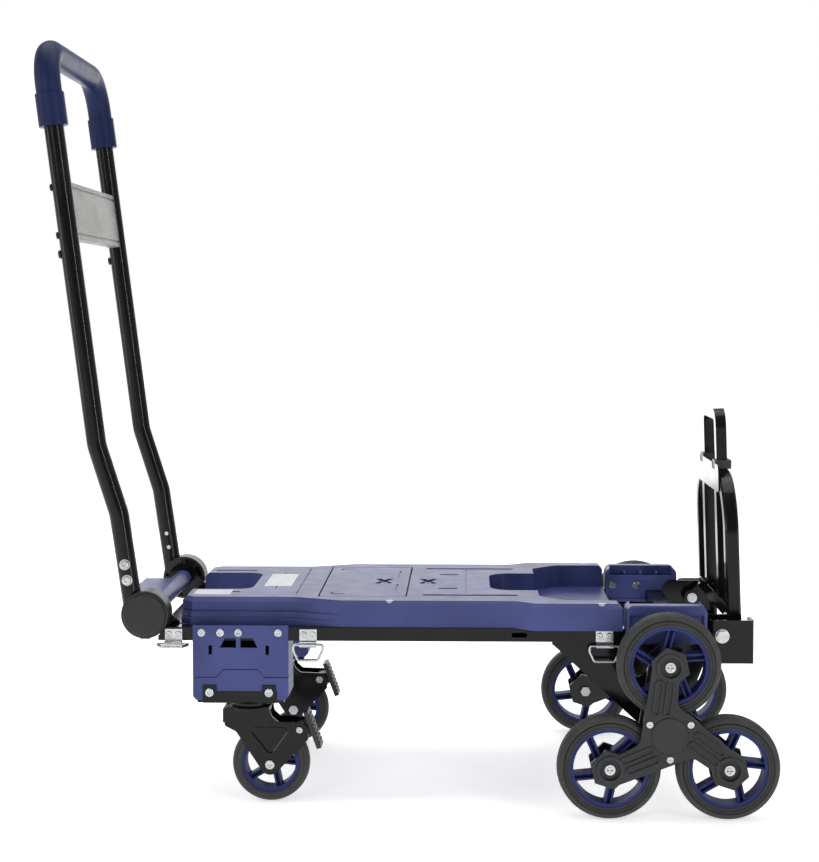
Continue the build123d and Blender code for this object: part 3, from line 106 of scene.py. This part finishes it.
def feed(tree, socket, value):
    """Set a node's input, or link it where the value is another node's output."""
    if isinstance(value, bpy.types.NodeSocket):
        tree.links.new(value, socket)
    elif socket.type == "RGBA" and len(value) == 3:
        socket.default_value = (*value, 1.0)
    else:
        socket.default_value = value


def map_range(tree, value, low, high, to_low, to_high):
    made = tree.nodes.new("ShaderNodeMapRange")
    feed(tree, made.inputs["Value"], value)
    feed(tree, made.inputs["From Min"], low)
    feed(tree, made.inputs["From Max"], high)
    feed(tree, made.inputs["To Min"], to_low)
    feed(tree, made.inputs["To Max"], to_high)
    return made.outputs["Result"]


class Graph:
    """A material's node tree, with short calls for the nodes that the materials share."""

    def __init__(self, name):
        self.mat = bpy.data.materials.new(name)
        self.mat.use_nodes = True
        self.tree = self.mat.node_tree
        self.tree.nodes.clear()
        out = self.tree.nodes.new("ShaderNodeOutputMaterial")
        self.shader = self.tree.nodes.new("ShaderNodeBsdfPrincipled")
        self.tree.links.new(self.shader.outputs["BSDF"], out.inputs["Surface"])
        self.place = self.tree.nodes.new("ShaderNodeTexCoord").outputs["Object"]

    def node(self, kind, output, settings=None, **inputs):
        """Add a node and give one output. An input's name has _ for each space."""
        made = self.tree.nodes.new("ShaderNode" + kind)
        for key, value in (settings or {}).items():
            setattr(made, key, value)
        for key, value in inputs.items():
            feed(self.tree, made.inputs[key.replace("_", " ")], value)
        return made.outputs[output]

    def noise(self, scale, detail, stretch=(1.0, 1.0, 1.0), shift=0.0):
        at = (shift, shift, shift)
        spot = self.node("Mapping", "Vector", Vector=self.place, Scale=stretch, Location=at)
        return self.node(
            "TexNoise", "Fac", Vector=spot, Scale=scale, Detail=detail, Roughness=0.55
        )

    def span(self, value, low, high, least=0.0, most=1.0):
        return map_range(self.tree, value, low, high, least, most)

    def cloud(self, scale, detail, low, high, least=0.0, most=1.0, **layout):
        """Noise as a mask: least where it is under low, most where it is over high."""
        return self.span(self.noise(scale, detail, **layout), low, high, least, most)

    def maths(self, operation, first, second):
        made = self.tree.nodes.new("ShaderNodeMath")
        made.operation = operation
        feed(self.tree, made.inputs[0], first)
        feed(self.tree, made.inputs[1], second)
        return made.outputs["Value"]

    def mix(self, factor, first, second):
        made = self.tree.nodes.new("ShaderNodeMix")
        made.data_type = "RGBA"
        feed(self.tree, made.inputs[MIX_FACTOR], factor)
        feed(self.tree, made.inputs[MIX_FIRST], first)
        feed(self.tree, made.inputs[MIX_SECOND], second)
        return made.outputs[MIX_RESULT]

    def soft_normal(self, radius):
        return self.node("Bevel", "Normal", {"samples": BEVEL_SAMPLES}, Radius=radius)

    def edges(self, soft, width=0.10):
        """Mask of the edges: where the rounded normal leaves the face's own."""
        face = self.tree.nodes.new("ShaderNodeNewGeometry").outputs["Normal"]
        made = self.tree.nodes.new("ShaderNodeVectorMath")
        made.operation = "DOT_PRODUCT"
        self.tree.links.new(soft, made.inputs[0])
        self.tree.links.new(face, made.inputs[1])
        return self.span(made.outputs["Value"], 1.0 - EDGE_CLEAR_OF_WEAR_AND_HIGHLIGHT * width, 1.0 - width)

    def bump(self, height, strength, distance, normal=None):
        inputs = {"Height": height, "Strength": strength, "Distance": distance}
        if normal is not None:
            inputs["Normal"] = normal
        return self.node("Bump", "Normal", **inputs)

    def finish(self, **inputs):
        for key, value in inputs.items():
            feed(self.tree, self.shader.inputs[key.replace("_", " ")], value)
        return self.mat


def moulded(name, colour, scuff_and_highlight, rough, grain, soft=0.0007, wear_and_highlight=0.35, specular=0.5):
    """Grained injection-moulded plastic: patchy tone, grain bump, pale edges that are partly rubbed
    wear and partly a painted highlight.
    """
    g = Graph(name)
    normal = g.soft_normal(soft)
    dark = tuple(c * PATCH_DARK for c in colour)
    light = tuple(min(1.0, c * PATCH_LIGHT + PATCH_LIFT) for c in colour)
    patches = g.cloud(scale=9.0, detail=4.0, low=0.35, high=0.68)
    tone = g.mix(patches, dark, light)
    specks = g.cloud(scale=grain, detail=2.0, low=0.62, high=0.80, most=0.22)
    tone = g.mix(specks, tone, scuff_and_highlight)
    edges = g.edges(normal)
    edge_patches = g.cloud(scale=60.0, detail=4.0, low=0.42, high=0.66, most=wear_and_highlight, shift=3.0)
    # The pale edges here are partly rubbed wear and partly a painted highlight on the moulded
    # edges.
    tone = g.mix(g.maths("MULTIPLY", edges, edge_patches), tone, scuff_and_highlight)
    hairs = g.cloud(
        scale=70.0, detail=5.0, low=0.66, high=0.74, most=0.10, stretch=(0.05, 1.0, 1.0), shift=7.0
    )
    tone = g.mix(hairs, tone, scuff_and_highlight)
    gloss = g.cloud(
        scale=38.0, detail=4.0, low=0.3, high=0.7,
        least=rough - PLASTIC_SMOOTHER, most=rough + PLASTIC_ROUGHER, shift=1.0,
    )
    fine = g.bump(g.noise(grain, detail=2.0), strength=0.22, distance=0.00012, normal=normal)
    swell = g.noise(scale=14.0, detail=1.0, shift=5.0)
    waves = g.bump(swell, strength=0.02, distance=0.0006, normal=fine)
    return g.finish(
        Base_Color=tone, Roughness=gloss, Normal=waves, IOR=1.49, Specular_IOR_Level=specular
    )


def painted(name, colour, dusty, bare):
    """Gloss powder coat on steel: orange peel, faint dust, chips on the sharpest edges."""
    g = Graph(name)
    normal = g.soft_normal(radius=0.0005)
    dust = g.cloud(scale=24.0, detail=5.0, low=0.52, high=0.80, most=0.12)
    tone = g.mix(dust, colour, dusty)
    edges = g.edges(normal, width=0.16)
    flakes = g.cloud(scale=150.0, detail=4.0, low=0.60, high=0.70, most=0.6, shift=2.0)
    chips = g.maths("MULTIPLY", edges, flakes)
    tone = g.mix(chips, tone, bare)
    gloss = g.cloud(
        scale=16.0, detail=5.0, low=0.3, high=0.7, least=0.11, most=0.20, shift=4.0
    )
    gloss = g.maths("ADD", gloss, g.maths("MULTIPLY", chips, CHIP_DULLING))
    peel = g.bump(
        g.noise(scale=420.0, detail=2.0), strength=0.10, distance=0.00025, normal=normal
    )
    return g.finish(
        Base_Color=tone, Roughness=gloss, Normal=peel, IOR=1.50, Specular_IOR_Level=0.24
    )


def plated(name, colour, dull, brushed, worn):
    """Bright zinc plate: fine brushed lines, cloudy tone, paler worn edges."""
    g = Graph(name)
    normal = g.soft_normal(radius=0.0004)
    clouds = g.cloud(scale=60.0, detail=4.0, low=0.35, high=0.70)
    tone = g.mix(clouds, colour, dull)
    lines = g.noise(scale=900.0, detail=3.0, stretch=(1.0, 1.0, 0.06), shift=2.0)
    tone = g.mix(g.span(lines, low=0.40, high=0.75, most=0.22), tone, brushed)
    tone = g.mix(g.maths("MULTIPLY", g.edges(normal, width=0.2), PLATE_WEAR), tone, worn)
    gloss = g.cloud(
        scale=140.0, detail=3.0, low=0.3, high=0.7, least=0.16, most=0.30, shift=6.0
    )
    fine = g.bump(lines, strength=0.10, distance=0.00008, normal=normal)
    return g.finish(Base_Color=tone, Metallic=1.0, Roughness=gloss, Normal=fine)


def rubber(name, colour, dusty, pitted):
    """Solid tyre rubber: matt, finely pitted, with patches of dust and dusty edges."""
    g = Graph(name)
    normal = g.soft_normal(radius=0.0006)
    dirt = g.cloud(scale=45.0, detail=5.0, low=0.40, high=0.72, most=0.55)
    tone = g.mix(dirt, colour, dusty)
    pits = g.node("TexVoronoi", "Distance", Vector=g.place, Scale=1300.0)
    tone = g.mix(g.span(pits, low=0.0, high=0.5, least=0.28, most=0.0), tone, pitted)
    edges = g.edges(normal, width=0.12)
    edge_patches = g.cloud(scale=90.0, detail=3.0, low=0.4, high=0.65, most=0.4, shift=2.0)
    tone = g.mix(g.maths("MULTIPLY", edges, edge_patches), tone, dusty)
    gloss = g.cloud(
        scale=80.0, detail=4.0, low=0.3, high=0.7, least=0.58, most=0.78, shift=1.0
    )
    fine = g.bump(pits, strength=0.25, distance=0.00015, normal=normal)
    swell = g.bump(
        g.noise(scale=160.0, detail=2.0), strength=0.10, distance=0.0004, normal=fine
    )
    return g.finish(Base_Color=tone, Roughness=gloss, Normal=swell, Specular_IOR_Level=0.35)


def film(name, colour, shade):
    """A blank satin label: cloudy tone, with a fine tooth."""
    g = Graph(name)
    normal = g.soft_normal(radius=0.0004)
    tone = g.mix(
        g.cloud(scale=30.0, detail=4.0, low=0.35, high=0.7, most=0.6), colour, shade
    )
    tone = g.mix(
        g.cloud(scale=700.0, detail=2.0, low=0.55, high=0.75, most=0.2), tone, shade
    )
    gloss = g.cloud(
        scale=90.0, detail=3.0, low=0.3, high=0.7, least=0.30, most=0.42, shift=2.0
    )
    fine = g.bump(
        g.noise(scale=900.0, detail=2.0), strength=0.08, distance=0.0001, normal=normal
    )
    return g.finish(Base_Color=tone, Roughness=gloss, Normal=fine, Specular_IOR_Level=0.3)


# The material slots of the record: how each is made, and its looks.
FINISHES = {
    # scuff: the colour of scuffs, specks and pale edges. On the edges it is partly a painted
    # highlight, and wear sets its strength.
    "navy_plastic": (moulded, {
        "colour": (0.041, 0.053, 0.185), "scuff_and_highlight": (0.12, 0.14, 0.33),
        "rough": 0.42, "grain": 1500.0, "specular": 0.36,
    }),
    "grip_plastic": (moulded, {
        "colour": (0.011, 0.018, 0.066), "scuff_and_highlight": (0.04, 0.05, 0.12),
        "rough": 0.40, "grain": 1100.0, "specular": 0.12,
    }),
    "rim_plastic": (moulded, {
        "colour": (0.030, 0.038, 0.140), "scuff_and_highlight": (0.10, 0.12, 0.30),
        "rough": 0.46, "grain": 1800.0, "soft": 0.0005, "wear_and_highlight": 0.25, "specular": 0.08,
    }),
    "charcoal_plastic": (moulded, {
        "colour": (0.018, 0.019, 0.020), "scuff_and_highlight": (0.10, 0.10, 0.10),
        "rough": 0.42, "grain": 1300.0, "specular": 0.4,
    }),
    "grey_plastic": (moulded, {
        "colour": (0.215, 0.217, 0.205), "scuff_and_highlight": (0.36, 0.36, 0.35),
        "rough": 0.46, "grain": 1600.0, "specular": 0.25,
    }),
    "label_white": (film, {"colour": (0.44, 0.45, 0.49), "shade": (0.36, 0.37, 0.40)}),
    "black_steel": (painted, {
        "colour": (0.0042, 0.0042, 0.0046), "dusty": (0.030, 0.030, 0.031),
        "bare": (0.24, 0.24, 0.24),
    }),
    "zinc_steel": (plated, {
        "colour": (0.58, 0.59, 0.60), "dull": (0.44, 0.45, 0.47),
        "brushed": (0.34, 0.34, 0.35), "worn": (0.86, 0.86, 0.85),
    }),
    "tyre_rubber": (rubber, {
        "colour": (0.036, 0.036, 0.035), "dusty": (0.058, 0.057, 0.055),
        "pitted": (0.020, 0.020, 0.020),
    }),
}
MATERIALS = {name: make(name, **looks) for name, (make, looks) in FINISHES.items()}


def coat(obj, slot):
    obj.data.materials.clear()
    obj.data.materials.append(MATERIALS[slot])


for part in frame["record"]["subparts"]:
    coat(frame["nodes"][part["node"]], part["material_slot"])


def link_object(name, data):
    obj = bpy.data.objects.new(name, data)
    scene.collection.objects.link(obj)
    return obj


def mesh_object(name, bm):
    """A linked object with the mesh of a bmesh, which is freed."""
    mesh = bpy.data.meshes.new(name)
    bm.to_mesh(mesh)
    bm.free()
    return link_object(name, mesh)


def lathe(name, profile, centre):
    """Closed ring about an axis along Y, from (y, radius) points in order round its section."""
    bm = bmesh.new()
    rings = []
    for k in range(TYRE_SEGMENTS):
        angle = 2.0 * math.pi * k / TYRE_SEGMENTS
        across, up = math.cos(angle), math.sin(angle)
        rings.append([
            bm.verts.new((centre[0] + r * across, y, centre[1] + r * up)) for y, r in profile
        ])
    for k, ring in enumerate(rings):
        after = rings[(k + 1) % TYRE_SEGMENTS]
        for i in range(len(profile)):
            j = (i + 1) % len(profile)
            bm.faces.new((ring[i], ring[j], after[j], after[i]))
    bmesh.ops.recalc_face_normals(bm, faces=bm.faces[:])
    for face in bm.faces:
        face.smooth = True
    obj = mesh_object(name, bm)
    obj.data.set_sharp_from_angle(angle=SHARP_ANGLE)
    return obj


def tyre_profile(half, radius, bore):
    """Section of a solid tyre: sunk ring by the rim, bulged side, round shoulder, mould line."""
    tread = radius - SEAM_HEIGHT
    side = [(half - depth, bore + rise) for depth, rise in RIM_SIDE]
    side.append((half, (bore + radius) / 2.0))
    side += [(half - depth, radius - SHOULDER - inside) for depth, inside in SHOULDER_SIDE]
    for k in range(SHOULDER_STEPS + 1):
        turn = 0.5 * math.pi * k / SHOULDER_STEPS
        side.append((
            half - SHOULDER_INSET - SHOULDER + SHOULDER * math.cos(turn),
            tread - SHOULDER_INSET - SHOULDER + SHOULDER * math.sin(turn),
        ))
    side.append((TREAD_HALF, tread))
    side.append((SEAM_HALF, tread))
    return side + [(0.0, radius)] + [(-y, r) for y, r in reversed(side)]


def fit_tyre(tyre_node, rim_node, body):
    """A turned tyre in place of the plain CAD one, over the same rim."""
    low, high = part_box(tyre_node)
    rim_low, rim_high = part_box(rim_node)
    half = (high[1] - low[1]) / 2.0
    profile = tyre_profile(half, (high[0] - low[0]) / 2.0, (rim_high[0] - rim_low[0]) / 2.0)
    middle = (low[1] + high[1]) / 2.0
    centre = ((low[0] + high[0]) / 2.0, (low[2] + high[2]) / 2.0)
    tyre = lathe("moulded_" + tyre_node, [(middle + y, r) for y, r in profile], centre)
    tyre.data.materials.append(MATERIALS["tyre_rubber"])
    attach(tyre, body)
    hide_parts(tyre_node)


for end in "rl":
    fit_tyre(f"caster_tyre_{end}", f"caster_rim_{end}", f"caster_wheel_{end}")
    for number in (1, 2, 3):
        fit_tyre(f"star{number}_tyre_{end}", f"star{number}_rim_{end}", f"star_wheel{number}_{end}")


def floor_paper():
    """Pale paper that glows a little more with distance, up to the background's white."""
    g = Graph("floor_paper")
    clouds = g.cloud(scale=2.0, detail=4.0, low=0.3, high=0.7, most=0.3)
    tone = g.mix(clouds, (0.93, 0.93, 0.935), (0.90, 0.90, 0.905))
    fine = g.bump(g.noise(scale=500.0, detail=2.0), strength=0.05, distance=0.0003)
    away = g.node("VectorMath", "Value", {"operation": "LENGTH"}, Vector=g.place)
    return g.finish(
        Base_Color=tone, Roughness=0.75, Normal=fine, Specular_IOR_Level=0.2,
        Emission_Color=WHITE,
        Emission_Strength=g.span(away, GLOW_FROM, GLOW_TO, GLOW_NEAR, GLOW_FAR),
    )


disc = bmesh.new()
bmesh.ops.create_circle(disc, cap_ends=True, radius=FLOOR_RADIUS, segments=FLOOR_SEGMENTS)
floor = mesh_object("floor", disc)
floor.data.materials.append(floor_paper())


def area_light(name, at, target, size, power):
    data = bpy.data.lights.new(name, "AREA")
    data.shape = "RECTANGLE"
    data.size, data.size_y = size
    data.energy = power
    lamp = link_object(name, data)
    lamp.location = at
    lamp.rotation_euler = (Vector(target) - Vector(at)).to_track_quat("-Z", "Y").to_euler()


for lamp_settings in LAMPS:
    area_light(*lamp_settings)


def studio_world():
    """White where the camera sees it. As light, dim from the camera's side, bright from behind."""
    world = bpy.data.worlds.new("studio")
    scene.world = world
    world.use_nodes = True
    tree = world.node_tree
    sky = tree.nodes["Background"]
    feed(tree, sky.inputs["Color"], WHITE)
    seen = tree.nodes.new("ShaderNodeLightPath").outputs["Is Camera Ray"]
    aim = tree.nodes.new("ShaderNodeSeparateXYZ")
    direction = tree.nodes.new("ShaderNodeTexCoord").outputs["Generated"]
    tree.links.new(direction, aim.inputs["Vector"])
    room = map_range(tree, aim.outputs["Y"], ROOM_FROM, ROOM_TO, ROOM_FRONT, ROOM_REAR)
    feed(tree, sky.inputs["Strength"], map_range(tree, seen, 0.0, 1.0, room, 1.0))


studio_world()

lens = bpy.data.cameras.new("camera")
lens.lens = CAMERA_LENS
lens.sensor_width = CAMERA_SENSOR
lens.clip_end = CAMERA_REACH
lens.shift_x, lens.shift_y = CAMERA_SHIFT
camera = link_object("camera", lens)
camera.location = CAMERA_AT
camera.rotation_euler = (math.pi / 2 - CAMERA_PITCH, 0.0, CAMERA_YAW)
scene.camera = camera
